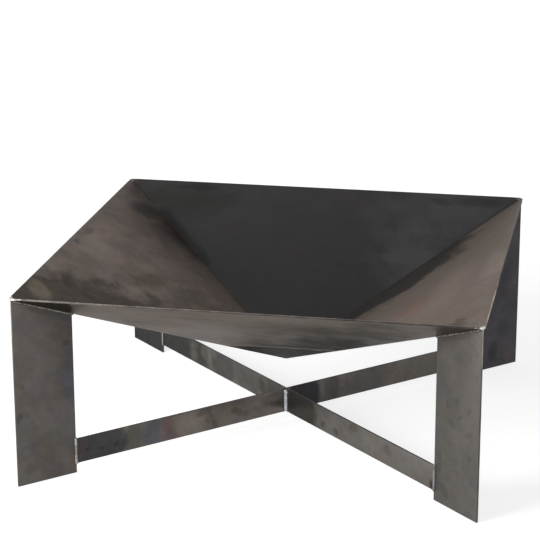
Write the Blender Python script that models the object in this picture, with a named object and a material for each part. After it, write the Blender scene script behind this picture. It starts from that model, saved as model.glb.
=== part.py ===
"""Square fire pit of raw steel plate: a pyramid bowl on four welded legs, tied by a cross of flat bar.

Metres, +Z up. The origin is on the floor under the bowl's tip, the rim's sides run along X and Y, and
the front faces -Y. Each leg stands in one of the bowl's diagonal planes.
"""

import math

import bmesh
import bpy
from mathutils import Vector

# Driving sizes of the bowl
RIM_SIDE = 0.700
OVERALL_HEIGHT = 0.300
BOWL_DROP = 0.192
BOWL_PLATE = 0.003

# Driving sizes of the legs and the cross
LEG_WIDTH = 0.100
LEG_PLATE = 0.003
BAR_HEIGHT = 0.040
BAR_PLATE = 0.003
BAR_ABOVE_FLOOR = 0.015

# Driving sizes of the welds
HIP_WELD_WIDTH = 0.005
RIDGE_FLAT = 0.0015
CORNER_GROUND_OFF = 0.005
CORNER_WELD_LENGTH = 0.006
TIP_WELD_SIDE = 0.012
TIP_FLAT = 0.002
LEG_WELD_SIZE = 0.0045
LEG_WELD_SETBACK = 0.003
BAR_WELD_WIDTH = 0.006
BAR_WELD_RISE = 0.0014
BAR_WELD_SHOULDER_SHARE = 0.75
BAR_WELD_OVERRUN = 0.002
CENTRE_WELD_SIZE = 0.005
RIPPLE_PITCH = 0.004
RIPPLE_DEPTH = 0.0004
WELD_CROWN = 0.0006

# Clearance between two pieces that a weld joins
FIT_GAP = 0.0003

# The panels' slope, measured on the sheet's underside
SLOPE = math.atan2(BOWL_DROP, RIM_SIDE / 2)
SHEET_DEPTH = BOWL_PLATE / math.cos(SLOPE)
RIM_EDGE_DEPTH = BOWL_PLATE * math.cos(SLOPE)
RIM_EDGE_LEAN = BOWL_PLATE * math.sin(SLOPE)

# Heights of the tip and rise of a hip for each metre along the diagonal
TIP_HEIGHT = OVERALL_HEIGHT - RIM_EDGE_DEPTH - BOWL_DROP
HIP_RISE = math.tan(SLOPE) / math.sqrt(2)

# Distances from the centre along a diagonal
RIM_CORNER = RIM_SIDE / 2 * math.sqrt(2)
RIM_CORNER_INSIDE = (RIM_SIDE / 2 - RIM_EDGE_LEAN) * math.sqrt(2)
LEG_OUTER = RIM_CORNER - CORNER_GROUND_OFF
LEG_INNER = LEG_OUTER - LEG_WIDTH
CORNER_WELD_START = LEG_OUTER - CORNER_WELD_LENGTH

SIDES = ("front", "right", "back", "left")
CORNERS = ("front_right", "back_right", "back_left", "front_left")
QUARTER_TURN = math.pi / 2
TO_FIRST_CORNER = -math.pi / 4
FIRST_QUADRANT_TO_FRONT = -3 * math.pi / 4


def clear_scene():
    for item in list(bpy.data.objects):
        bpy.data.objects.remove(item, do_unlink=True)


def steel(name, colour, roughness):
    material = bpy.data.materials.new(name)
    material.use_nodes = True
    shader = material.node_tree.nodes["Principled BSDF"]
    shader.inputs["Base Color"].default_value = (*colour, 1)
    shader.inputs["Metallic"].default_value = 0.9
    shader.inputs["Roughness"].default_value = roughness
    return material


def solid(rings):
    """A closed solid through a row of rings that have the same number of points."""
    bm = bmesh.new()
    rows = [[bm.verts.new(point) for point in ring] for ring in rings]
    count = len(rows[0])
    for near, far in zip(rows, rows[1:]):
        for k in range(count):
            following = (k + 1) % count
            bm.faces.new((near[k], near[following], far[following], far[k]))
    bm.faces.new(rows[0])
    bm.faces.new(rows[-1])
    return bm, rows


def trim(bm, point, normal):
    """Cuts off what lies on the normal's side of a plane, and closes the cut."""
    everything = bm.verts[:] + bm.edges[:] + bm.faces[:]
    cut = bmesh.ops.bisect_plane(bm, geom=everything, plane_co=point, plane_no=normal, clear_outer=True)
    border = [item for item in cut["geom_cut"] if isinstance(item, bmesh.types.BMEdge)]
    bmesh.ops.edgeloop_fill(bm, edges=border)


def mesh_from(bm, name, material):
    bmesh.ops.recalc_face_normals(bm, faces=bm.faces)
    mesh = bpy.data.meshes.new(name)
    bm.to_mesh(mesh)
    bm.free()
    mesh.materials.append(material)
    return mesh


def place(name, mesh, turn):
    """Adds one piece, turned about the vertical axis through the bowl's tip."""
    piece = bpy.data.objects.new(name, mesh)
    piece.rotation_euler = (0, 0, turn)
    bpy.context.collection.objects.link(piece)
    return piece


def place_on_corners(family, mesh):
    for k, corner in enumerate(CORNERS):
        place(f"{family}_{corner}", mesh, TO_FIRST_CORNER + k * QUARTER_TURN)


def underside(along, across):
    """Height of the bowl's outer surface, by the distance along a diagonal and to one side of it."""
    return TIP_HEIGHT + (along + abs(across)) * HIP_RISE


def inside(along, across):
    return underside(along, across) + SHEET_DEPTH


def ripple(index):
    """The bead's crown rises and falls once for each ripple."""
    return RIPPLE_DEPTH if index % 2 else 0.0


def ripple_steps(length):
    """How many half ripples fit a bead of this length."""
    return 2 * max(1, round(length / RIPPLE_PITCH))


def hip_plane(side):
    """The cut along one slanted edge of the front panel, which opens the seam's groove to the outside."""
    diagonal = Vector((side, -1, 0)).normalized()
    inward = Vector((-side, -1, 0)).normalized()

    def point(along, across, height):
        return diagonal * along + inward * across + Vector((0, 0, height))

    seam = FIT_GAP / 2
    groove = HIP_WELD_WIDTH / 2
    top = point(0, seam, inside(0, seam))
    bottom = point(0, groove, underside(0, groove))
    along_hip = point(1, seam, inside(1, seam)) - top
    normal = along_hip.cross(bottom - top).normalized()
    if normal.dot(inward) > 0:
        normal.negate()
    return top, normal


def bowl_panels(material):
    """Four triangles of plate, whose edges are cut square to the sheet at the rim."""
    reach = RIM_SIDE / 2
    outward = Vector((0, -math.sin(SLOPE), -math.cos(SLOPE)))
    tip = Vector((0, 0, TIP_HEIGHT + SHEET_DEPTH))
    rim_left = Vector((-reach, -reach + RIM_EDGE_LEAN, OVERALL_HEIGHT))
    rim_right = Vector((reach, -reach + RIM_EDGE_LEAN, OVERALL_HEIGHT))
    inner_face = (tip, rim_left, rim_right)
    bm, _ = solid((inner_face, [corner + outward * BOWL_PLATE for corner in inner_face]))
    for side in (-1, 1):
        trim(bm, *hip_plane(side))
        diagonal = Vector((side, -1, 0)).normalized()
        trim(bm, diagonal * (CORNER_WELD_START - FIT_GAP), diagonal)
    trim(bm, Vector((0, -TIP_WELD_SIDE / 2, 0)), Vector((0, 1, 0)))
    mesh = mesh_from(bm, "bowl_panel", material)
    for k, side in enumerate(SIDES):
        place(f"bowl_panel_{side}", mesh, k * QUARTER_TURN)


def hip_section():
    """The seam weld across the hip, as points to one side of it: the root, the edge and the ground ridge."""
    seam = FIT_GAP / 2
    run = HIP_WELD_WIDTH / 2 - seam
    fall = inside(0, seam) - underside(0, HIP_WELD_WIDTH / 2)
    steepness = fall / run
    clearance = FIT_GAP * math.hypot(run, fall) / fall
    root = inside(0, seam) - (clearance - seam) * steepness
    edge = (inside(0, seam) - TIP_HEIGHT + (seam - clearance) * steepness) / (HIP_RISE + steepness)
    return root, edge


def hip_welds(material):
    """A weld in the groove of each hip, ground flush with the panels and a little flat on the ridge."""
    root, edge = hip_section()
    flat = RIDGE_FLAT / 2
    start = (TIP_WELD_SIDE / 2 - FIT_GAP) * math.sqrt(2) + FIT_GAP
    end = CORNER_WELD_START - FIT_GAP

    def ring(along):
        rise = along * HIP_RISE
        return ((along, 0, root + rise),
                (along, edge, underside(along, edge)),
                (along, flat, underside(along, flat)),
                (along, -flat, underside(along, -flat)),
                (along, -edge, underside(along, -edge)))

    bm, _ = solid((ring(start), ring(end)))
    place_on_corners("hip_weld", mesh_from(bm, "hip_weld", material))


def corner_welds(material):
    """Weld metal that closes each corner of the rim, ground flush with the leg's outer edge."""
    flat = RIDGE_FLAT / 2
    rim_low = OVERALL_HEIGHT - RIM_EDGE_DEPTH

    def ring(along, middle_height):
        upper = RIM_CORNER_INSIDE - along
        lower = RIM_CORNER - along
        return ((along, -upper, OVERALL_HEIGHT),
                (along, 0, middle_height),
                (along, upper, OVERALL_HEIGHT),
                (along, lower, rim_low),
                (along, flat, underside(along, flat)),
                (along, -flat, underside(along, -flat)),
                (along, -lower, rim_low))

    start = ring(CORNER_WELD_START, inside(CORNER_WELD_START, 0))
    end = ring(LEG_OUTER, OVERALL_HEIGHT)
    bm, rows = solid((start, end))
    inner, outer = rows
    bmesh.ops.connect_verts(bm, verts=[inner[1], outer[0]])
    bmesh.ops.connect_verts(bm, verts=[inner[1], outer[2]])
    place_on_corners("corner_weld", mesh_from(bm, "corner_weld", material))


def tip_weld(material):
    """The plug of weld metal where the four seams meet, ground to a small flat underneath."""
    half = TIP_WELD_SIDE / 2 - FIT_GAP
    flat = TIP_FLAT / 2
    tangent = math.tan(SLOPE)

    def square(reach, height):
        return ((-reach, -reach, height), (reach, -reach, height), (reach, reach, height), (-reach, reach, height))

    bottom = TIP_HEIGHT + half * tangent
    bm, _ = solid((square(half, bottom + SHEET_DEPTH), square(half, bottom), square(flat, TIP_HEIGHT + flat * tangent)))
    place("tip_weld", mesh_from(bm, "tip_weld", material), 0)


def legs(material):
    """Plates on edge in the bowl's diagonal planes, whose slanted tops seat on the ground ridges."""
    half = LEG_PLATE / 2

    def seat(along):
        return underside(along, RIDGE_FLAT / 2) - FIT_GAP

    def outline(across):
        return ((LEG_OUTER, across, 0), (LEG_OUTER, across, seat(LEG_OUTER)),
                (LEG_INNER, across, seat(LEG_INNER)), (LEG_INNER, across, 0))

    bm, _ = solid((outline(-half), outline(half)))
    place_on_corners("leg", mesh_from(bm, "leg", material))


def leg_weld_path():
    """Where the bead runs in plan: out along one face of the leg, round its inner edge and back."""
    half = LEG_PLATE / 2
    outer_end = LEG_OUTER - LEG_WELD_SETBACK
    length = outer_end - LEG_INNER
    steps = ripple_steps(length)
    near_face = [((outer_end - length * k / steps, half), math.pi / 2) for k in range(steps)]
    turns = (math.pi / 2, 3 * math.pi / 4, math.pi)
    corner = [((LEG_INNER, half), angle) for angle in turns]
    first_half = near_face + corner
    return first_half + [((along, -across), -angle) for (along, across), angle in reversed(first_half)]


def leg_welds(material):
    """A fillet bead in the angle between each leg and the bowl, rippled as it was laid."""
    rings = []
    for index, ((along, across), angle) in enumerate(leg_weld_path()):
        outward = Vector((math.cos(angle), math.sin(angle), 0))
        foot = Vector((along, across, 0)) + outward * FIT_GAP
        root = Vector((foot.x, foot.y, underside(foot.x, foot.y) - FIT_GAP))
        spread = foot + outward * LEG_WELD_SIZE
        bowl_toe = Vector((spread.x, spread.y, underside(spread.x, spread.y) - FIT_GAP))
        leg_toe = root - Vector((0, 0, LEG_WELD_SIZE))
        middle = (bowl_toe + leg_toe) / 2
        crown = middle + (middle - root).normalized() * (WELD_CROWN + ripple(index))
        rings.append((root, bowl_toe, crown, leg_toe))
    bm, _ = solid(rings)
    place_on_corners("leg_weld", mesh_from(bm, "leg_weld", material))


def cross_bars(material):
    """Two flat bars on edge, half lapped over each other in the middle."""
    bottom = BAR_ABOVE_FLOOR
    top = BAR_ABOVE_FLOOR + BAR_HEIGHT
    middle = BAR_ABOVE_FLOOR + BAR_HEIGHT / 2
    end = LEG_INNER - FIT_GAP
    slot = BAR_PLATE / 2 + FIT_GAP
    half = BAR_PLATE / 2

    def bar(name, slot_mouth, slot_floor, far_side, turn):
        profile = ((-end, far_side), (end, far_side), (end, slot_mouth), (slot, slot_mouth),
                   (slot, slot_floor), (-slot, slot_floor), (-slot, slot_mouth), (-end, slot_mouth))
        faces = [[(along, across, height) for along, height in profile] for across in (-half, half)]
        bm, _ = solid(faces)
        place(name, mesh_from(bm, name, material), turn)

    bar("cross_bar_lower", top, middle - FIT_GAP / 2, bottom, math.pi / 4)
    bar("cross_bar_upper", bottom, middle + FIT_GAP / 2, top, -math.pi / 4)


def centre_welds(material):
    """A rippled bead up each corner of the cross."""
    corner = BAR_PLATE / 2 + FIT_GAP
    toe = corner + CENTRE_WELD_SIZE
    chord_middle = (corner + toe) / 2
    steps = ripple_steps(BAR_HEIGHT)
    rings = []
    for k in range(steps + 1):
        height = BAR_ABOVE_FLOOR + BAR_HEIGHT * k / steps
        crown = chord_middle + (WELD_CROWN + ripple(k)) / math.sqrt(2)
        rings.append(((corner, corner, height), (toe, corner, height), (crown, crown, height), (corner, toe, height)))
    bm, _ = solid(rings)
    mesh = mesh_from(bm, "centre_weld", material)
    for k, side in enumerate(SIDES):
        place(f"centre_weld_{side}", mesh, FIRST_QUADRANT_TO_FRONT + k * QUARTER_TURN)


def bar_weld_mesh(face, material):
    """A low bead up one face of a leg and its bar, over the joint between them."""
    leg_face = LEG_PLATE / 2 + FIT_GAP
    bar_face = BAR_PLATE / 2 + FIT_GAP
    joint_face = max(leg_face, bar_face)
    joint = LEG_INNER - FIT_GAP / 2
    half = BAR_WELD_WIDTH / 2
    shoulder = BAR_WELD_WIDTH / 4
    shoulder_rise = BAR_WELD_RISE * BAR_WELD_SHOULDER_SHARE
    bottom = BAR_ABOVE_FLOOR - BAR_WELD_OVERRUN
    length = BAR_HEIGHT + 2 * BAR_WELD_OVERRUN
    steps = ripple_steps(length)
    rings = []
    for k in range(steps + 1):
        height = bottom + length * k / steps
        swell = ripple(k)
        section = ((joint + half, leg_face), (joint + shoulder, joint_face + shoulder_rise + swell),
                   (joint, joint_face + BAR_WELD_RISE + swell),
                   (joint - shoulder, joint_face + shoulder_rise + swell),
                   (joint - half, bar_face), (joint, joint_face))
        rings.append([(along, face * across, height) for along, across in section])
    bm, _ = solid(rings)
    return mesh_from(bm, "bar_weld", material)


def bar_welds(material):
    """Two beads for each leg, one up each face. The front face of a leg is the one that looks forward."""
    for face in (-1, 1):
        mesh = bar_weld_mesh(face, material)
        for k, corner in enumerate(CORNERS):
            turn = TO_FIRST_CORNER + k * QUARTER_TURN
            looks_forward = face * math.cos(turn) < 0
            name = f"bar_weld_{corner}_{'front' if looks_forward else 'back'}_face"
            place(name, mesh, turn)


clear_scene()
plate_steel = steel("plate_steel", (0.115, 0.104, 0.098), 0.42)
leg_steel = steel("leg_steel", (0.100, 0.092, 0.088), 0.45)
bar_steel = steel("bar_steel", (0.085, 0.081, 0.080), 0.45)
weld_metal = steel("weld_metal", (0.230, 0.220, 0.215), 0.38)
ground_metal = steel("ground_metal", (0.400, 0.385, 0.370), 0.30)
bowl_panels(plate_steel)
hip_welds(ground_metal)
corner_welds(ground_metal)
tip_weld(ground_metal)
legs(leg_steel)
leg_welds(weld_metal)
cross_bars(bar_steel)
centre_welds(weld_metal)
bar_welds(weld_metal)
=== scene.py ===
"""Looks of a square fire pit in raw steel: a welded pyramid bowl, four plate legs and a cross of flat bar."""

import math
from functools import partial

import bmesh
import bpy
from mathutils import Matrix, Vector


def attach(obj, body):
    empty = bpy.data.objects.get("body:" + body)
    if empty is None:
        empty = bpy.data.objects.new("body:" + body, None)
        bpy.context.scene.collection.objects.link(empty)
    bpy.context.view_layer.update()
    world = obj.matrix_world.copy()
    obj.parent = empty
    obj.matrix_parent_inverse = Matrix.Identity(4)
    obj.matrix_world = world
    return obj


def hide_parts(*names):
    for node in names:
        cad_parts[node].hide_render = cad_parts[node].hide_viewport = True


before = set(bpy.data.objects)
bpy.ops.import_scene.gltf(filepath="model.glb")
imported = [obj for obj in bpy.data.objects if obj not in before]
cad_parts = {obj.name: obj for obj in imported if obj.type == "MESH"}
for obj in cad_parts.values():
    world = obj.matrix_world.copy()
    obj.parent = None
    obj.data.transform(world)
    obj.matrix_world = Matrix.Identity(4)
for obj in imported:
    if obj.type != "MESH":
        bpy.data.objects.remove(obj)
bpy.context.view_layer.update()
scene = bpy.context.scene

# The camera stands about three metres off, a little to the right of the front and above the rim.
# It looks down on the bowl by about a fifth of a right angle, as one does when walking up to it.
view_azimuth = math.radians(11.16)
view_elevation = math.radians(17.46)
view_roll = math.radians(-0.12)
view_distance = 3.263
view_centre = Vector((-0.0315, 0.0248, 0.2468))
focal_length_mm = 134.5
film_width_mm = 36


def placed(name, data):
    """A new object in the scene."""
    thing = bpy.data.objects.new(name, data)
    scene.collection.objects.link(thing)
    return thing


camera_data = bpy.data.cameras.new("view_from_front")
camera_data.sensor_width = film_width_mm
camera_data.lens = focal_length_mm
camera = placed("view_from_front", camera_data)
look_down = Matrix.Rotation(math.pi / 2 - view_elevation, 4, "X")
turn_round = Matrix.Rotation(view_azimuth, 4, "Z")
camera_turn = turn_round @ look_down @ Matrix.Rotation(view_roll, 4, "Z")
step_back = Matrix.Translation((0, 0, view_distance))
camera.matrix_world = Matrix.Translation(view_centre) @ camera_turn @ step_back
scene.camera = camera
scene.view_settings.view_transform = "Standard"


# The studio is a white room with a plain pale floor and a darker ceiling, which the raw steel mirrors.
# A large soft lamp stands low at the front left, and a weaker one at the right fills the shade.
room_white = (1, 1, 1, 1)
ceiling_grey = (0.3, 0.3, 0.31, 1)
room_light = 0.42
wall_top = 0.6
ceiling_start = 0.92
floor_side = 14
floor_grey = (0.5, 0.5, 0.5, 1)
floor_glow = 0.75
far_floor_glow = 0.88
near_floor_radius = 0.5
far_floor_radius = 2.2
lit_middle = Vector((0, 0, 0.15))


def add(kind, inputs=None, tree=None, **settings):
    """Adds a node with its settings, feeds its inputs with values or sockets, and gives its outputs.

    Its tree is the one of those sockets, and has to be named only where nothing feeds it.
    """
    inputs = inputs or {}
    sockets = {key: value for key, value in inputs.items() if isinstance(value, bpy.types.NodeSocket)}
    tree = tree or next(iter(sockets.values())).id_data
    node = tree.nodes.new(kind)
    for setting, value in settings.items():
        setattr(node, setting, value)
    for key, value in inputs.items():
        if key in sockets:
            tree.links.new(value, node.inputs[key])
        else:
            node.inputs[key].default_value = value
    return node.outputs


def calc(operation, *values):
    return add("ShaderNodeMath", dict(enumerate(values)), operation=operation)[0]


times = partial(calc, "MULTIPLY")


def ease(value, low, high, to_low=0, to_high=1):
    """Moves a value smoothly from one range to another, and holds it at the ends."""
    given = {"Value": value, "From Min": low, "From Max": high, "To Min": to_low, "To Max": to_high}
    return add("ShaderNodeMapRange", given, interpolation_type="SMOOTHSTEP")["Result"]


def tint(amount, first, second):
    """Blends two colours. A Mix node's sockets share their names, so its colours go by their numbers."""
    return add("ShaderNodeMix", {0: amount, 6: first, 7: second}, data_type="RGBA")[2]


def blank_material(name):
    """A new material, and its node tree, which is still empty."""
    material = bpy.data.materials.new(name)
    material.use_nodes = True
    material.node_tree.nodes.clear()
    return material, material.node_tree


def square(half, level):
    """The corners of a level square around the middle."""
    return [(-half, -half, level), (half, -half, level), (half, half, level), (-half, half, level)]


def seen_or_mirrored(tree):
    """One for rays from the camera, off metal or through glass, and zero for light that falls on things."""
    rays = add("ShaderNodeLightPath", tree=tree)
    either = calc("MAXIMUM", rays["Is Camera Ray"], rays["Is Glossy Ray"])
    return calc("MAXIMUM", either, rays["Is Transmission Ray"])


def soft_lamp(name, place, side, watts):
    """A square soft lamp that faces the middle of the bowl."""
    data = bpy.data.lights.new(name, "AREA")
    data.shape = "SQUARE"
    data.size = side
    data.energy = watts
    lamp = placed(name, data)
    lamp.location = place
    lamp.rotation_euler = (lit_middle - Vector(place)).to_track_quat("-Z", "Y").to_euler()


room = bpy.data.worlds.new("white_room")
room.use_nodes = True
scene.world = room
room_tree = room.node_tree
room_tree.nodes.clear()
direction = add("ShaderNodeTexCoord", tree=room_tree)["Generated"]
height = add("ShaderNodeSeparateXYZ", {0: direction})["Z"]
to_ceiling = ease(height, wall_top, ceiling_start)
room_colour = tint(to_ceiling, room_white, ceiling_grey)
strength = ease(seen_or_mirrored(room_tree), 0, 1, room_light, 1)
glow = add("ShaderNodeBackground", {"Color": room_colour, "Strength": strength})
add("ShaderNodeOutputWorld", {"Surface": glow[0]})

floor_mesh = bpy.data.meshes.new("floor")
floor_mesh.from_pydata(square(floor_side / 2, 0), [], [(0, 1, 2, 3)])
placed("floor", floor_mesh)
floor_paint, floor_tree = blank_material("floor_paint")
matt = add("ShaderNodeBsdfDiffuse", {"Color": floor_grey}, floor_tree)
across_floor = add("ShaderNodeTexCoord", tree=floor_tree)["Object"]
from_middle = add("ShaderNodeVectorMath", {0: across_floor}, operation="LENGTH")["Value"]
shown_glow = ease(from_middle, near_floor_radius, far_floor_radius, floor_glow, far_floor_glow)
glow_strength = times(seen_or_mirrored(floor_tree), shown_glow)
floor_light = add("ShaderNodeEmission", {"Color": room_white, "Strength": glow_strength})
both = add("ShaderNodeAddShader", {0: matt[0], 1: floor_light[0]})
clear = add("ShaderNodeBsdfTransparent", tree=floor_tree)
from_below = add("ShaderNodeNewGeometry", tree=floor_tree)["Backfacing"]
floor_shown = add("ShaderNodeMixShader", {0: from_below, 1: both[0], 2: clear[0]})
add("ShaderNodeOutputMaterial", {"Surface": floor_shown[0]})
floor_mesh.materials.append(floor_paint)

soft_lamp("key_lamp", place=(-2.6, -2.6, 1.6), side=1.8, watts=160)
soft_lamp("fill_lamp", place=(2.8, -2, 1.8), side=1.8, watts=14)


# The bowl is four triangles of hot-rolled plate, 3 mm thick, cut from sheets still in their mill scale.
# The scale is a satin skin of brown and blue-grey clouds, with smudges and scratches from handling, and some
# of its marks are painted shade and painted reflections.
# The cut edges are bare, and show as a light line along the rim, brighter where it is rubbed.
rim_reach = 0.35
overall_height = 0.3
bowl_drop = 0.192
plate_thickness = 0.003
edge_rounding = 0.00035
slope = math.atan2(bowl_drop, rim_reach)
inner_rim_reach = rim_reach - plate_thickness * math.sin(slope)

plus = partial(calc, "ADD")
minus = partial(calc, "SUBTRACT")
over = partial(calc, "DIVIDE")


def effect(vectors, values, results):
    """Makes a shader node group of a function, which gives the group's outputs from its inputs."""
    def build(draw):
        tree = bpy.data.node_groups.new(draw.__name__, "ShaderNodeTree")
        for labels, kind in ((vectors, "Vector"), (values, "Float")):
            for label in labels:
                tree.interface.new_socket(label, in_out="INPUT", socket_type="NodeSocket" + kind)
        for label, kind in results.items():
            tree.interface.new_socket(label, in_out="OUTPUT", socket_type="NodeSocket" + kind)
        drawn = draw(tree.nodes.new("NodeGroupInput").outputs)
        result = tree.nodes.new("NodeGroupOutput")
        for label, socket in zip(results, drawn):
            tree.links.new(socket, result.inputs[label])
        return tree
    return build


def use(group, inputs):
    """Places a node group, and gives its outputs."""
    return add("ShaderNodeGroup", inputs, node_tree=group)


def arrow(operation, *values):
    """A sum on vectors, whose last value is the scale where the operation has one."""
    keys = (0, "Scale") if operation == "SCALE" else range(len(values))
    results = add("ShaderNodeVectorMath", dict(zip(keys, values)), operation=operation)
    return results["Value" if operation == "LENGTH" else "Vector"]


scaled = partial(arrow, "SCALE")


def flat(x, y):
    """A vector in the plane of the sheet."""
    return add("ShaderNodeCombineXYZ", {0: x, 1: y})[0]


def noise(place, seed, scale, detail=3, roughness=0.5, distortion=0):
    """Soft random values from about 0.3 to 0.7, whose pattern changes with the seed."""
    given = {"Vector": place, "W": seed, "Scale": scale, "Detail": detail, "Roughness": roughness,
             "Distortion": distortion}
    return add("ShaderNodeTexNoise", given, noise_dimensions="4D")[0]


most_noise = (0.3, 0.7)


def vary(value, low, high):
    """Turns noise into values between two ends."""
    return ease(value, *most_noise, low, high)


# Scale, share and seed of each layer of clouds, and scale, seed and hue of each tinted patch
cloud_layers = ((0.8, 0.52, 0), (2.6, 0.34, 7.3), (7.5, 0.14, 14.6))
tinted_patches = (
    (0.9, 31, (1.07, 1, 0.87, 1)), (1.3, 35.1, (0.91, 0.97, 1.08, 1)), (2.2, 39.2, (1.07, 0.94, 0.99, 1)))
cloud_edges = (0.32, 0.68)
cloud_range = (0.15, 0.85)
patch_edges = (0.46, 0.64)
grain_scale = 650
grain_contrast = 0.04


@effect(["Place"], ["Cloud Size", "Seed", "Contrast", "Tint Share"],
        {"Shade": "Color", "Clouds": "Float", "Grain": "Float"})
def mill_scale(given):
    """The skin that hot rolling leaves: clouds in warm, cool and pink patches, with a fine grain."""
    in_clouds = scaled(given["Place"], over(1, given["Cloud Size"]))
    clouds = 0
    for scale, share, own_seed in cloud_layers:
        seed = plus(given["Seed"], own_seed)
        layer = noise(in_clouds, seed, scale, detail=4, roughness=0.55, distortion=0.7)
        clouds = plus(times(ease(layer, *cloud_edges), share), clouds)
    darkest = minus(1, given["Contrast"])
    lightest = plus(1, given["Contrast"])
    shade = scaled((1, 1, 1), ease(clouds, *cloud_range, darkest, lightest))
    for scale, own_seed, hue in tinted_patches:
        seed = plus(given["Seed"], own_seed)
        there = ease(noise(in_clouds, seed, scale, distortion=0.6), *patch_edges)
        patch = tint(times(there, given["Tint Share"]), (1, 1, 1, 1), hue)
        shade = arrow("MULTIPLY", patch, shade)
    grain = noise(given["Place"], given["Seed"], grain_scale, roughness=0.6)
    return scaled(shade, vary(grain, 1 - grain_contrast, 1 + grain_contrast)), clouds, grain


streak_edges = (0.34, 0.66)


@effect(["Place"], ["Length", "Width", "Seed"], {"Streaks": "Float"})
def rolled_streaks(given):
    """Faint lines along the rolling direction, which is the place's first axis."""
    stretch = flat(over(1, given["Length"]), over(1, given["Width"]))
    stretched = arrow("MULTIPLY", given["Place"], stretch)
    return [ease(noise(stretched, given["Seed"], 1, roughness=0.6), *streak_edges)]


sway_scale = 25
sway_reach = 0.02
stroke_taper = 1.6
stroke_edges = (0.9, 0.3)


@effect(["Place"], ["Angle", "Length", "Spacing", "Width", "Share", "Seed"], {"Scratches": "Float"})
def scratches(given):
    """Single fine scratches in one direction, each in its own cell and slightly bent."""
    turning = {"Vector": given["Place"], "Angle": given["Angle"]}
    turned = add("ShaderNodeVectorRotate", turning, rotation_type="Z_AXIS")[0]
    wave = minus(noise(turned, given["Seed"], sway_scale, detail=1), 0.5)
    bent = arrow("ADD", turned, flat(0, times(wave, sway_reach)))
    per_cell = flat(over(1, given["Length"]), over(1, given["Spacing"]))
    shifted = arrow("ADD", arrow("MULTIPLY", bent, per_cell), flat(given["Seed"], given["Seed"]))
    in_cells = {"Vector": shifted, "Scale": 1}
    cell = add("ShaderNodeTexVoronoi", in_cells, voronoi_dimensions="2D")
    away = arrow("SUBTRACT", shifted, cell["Position"])
    off_line = arrow("MULTIPLY", away, flat(stroke_taper, over(given["Spacing"], given["Width"])))
    stroke = ease(arrow("LENGTH", off_line), *stroke_edges)
    chance = add("ShaderNodeSeparateColor", {0: cell["Color"]})[0]
    return [times(stroke, calc("LESS_THAN", chance, given["Share"]))]


@effect(["Place", "Centre", "Half Size"], ["Wander", "Turn", "Softness"], {"Mark": "Float"})
def mark(given):
    """One soft-edged mark: a smudge, a scorched cloud, a patch that is ground clean, or painted shade, light
    or reflection.
    """
    away = arrow("SUBTRACT", given["Place"], given["Centre"])
    turning = {"Vector": away, "Angle": times(given["Turn"], -1)}
    turned = add("ShaderNodeVectorRotate", turning, rotation_type="Z_AXIS")[0]
    distance = arrow("LENGTH", arrow("DIVIDE", turned, given["Half Size"]))
    return [ease(plus(distance, given["Wander"]), 1, minus(1, given["Softness"]))]


ragged_seed = 3
ragged_scale = 26
ragged_reach = 1.2
frayed_seed = 5
frayed_scale = 110
frayed_reach = 0.36
fully_frayed = 50


def with_marks(place, seed, colour, marks):
    """Lays marks over a colour.

    A mark is its centre and half size in millimetres on the sheet, its turn in degrees, its colour, and
    its share and softness in per cent. The harder a mark's edge is, the less it is frayed.
    """
    ragged = times(noise(place, seed + ragged_seed, ragged_scale), ragged_reach)
    frayed = times(noise(place, seed + frayed_seed, frayed_scale, detail=2), frayed_reach)
    wander = minus(plus(ragged, frayed), (ragged_reach + frayed_reach) / 2)
    for x, y, half_x, half_y, turn, mark_colour, share, softness in marks:
        there = use(mark, {
            "Place": place, "Centre": (x / 1000, y / 1000, 0), "Half Size": (half_x / 1000, half_y / 1000, 1),
            "Wander": times(wander, min(1, softness / fully_frayed)), "Turn": math.radians(turn),
            "Softness": softness / 100})["Mark"]
        colour = tint(times(there, share / 100), colour, (*mark_colour, 1))
    return colour


def sheet_material(name):
    """A blank material, and the place on the piece's own flat sheet in metres."""
    material, tree = blank_material(name)
    return material, add("ShaderNodeUVMap", tree=tree, uv_map="sheet")[0]


def shade_steel(colour, rough, relief, strength, depth, metallic, shine, shine_tint):
    """Shades a steel by its colour, roughness and fine relief, and the shine that it takes at its edges."""
    bump = add("ShaderNodeBump", {"Strength": strength, "Distance": depth, "Height": relief})
    shader = add("ShaderNodeBsdfPrincipled", {
        "Base Color": colour, "Metallic": metallic, "Roughness": rough, "Normal": bump[0],
        "Specular IOR Level": shine, "Specular Tint": (shine_tint, shine_tint, shine_tint, 1)})
    add("ShaderNodeOutputMaterial", {"Surface": shader[0]})


# Angle, length, spacing and width of the scratches that handling leaves, in three directions
scratch_families = (
    (0.35, 0.045, 0.03, 0.00035), (1.25, 0.03, 0.035, 0.0003), (2.5, 0.06, 0.04, 0.0003))
scratch_share = 0.3
scratch_gain = 1.22
streak_length = 0.3
streak_width = 0.007
satin_roughness = (0.42, 0.34)
grain_roughness = 0.04


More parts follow.
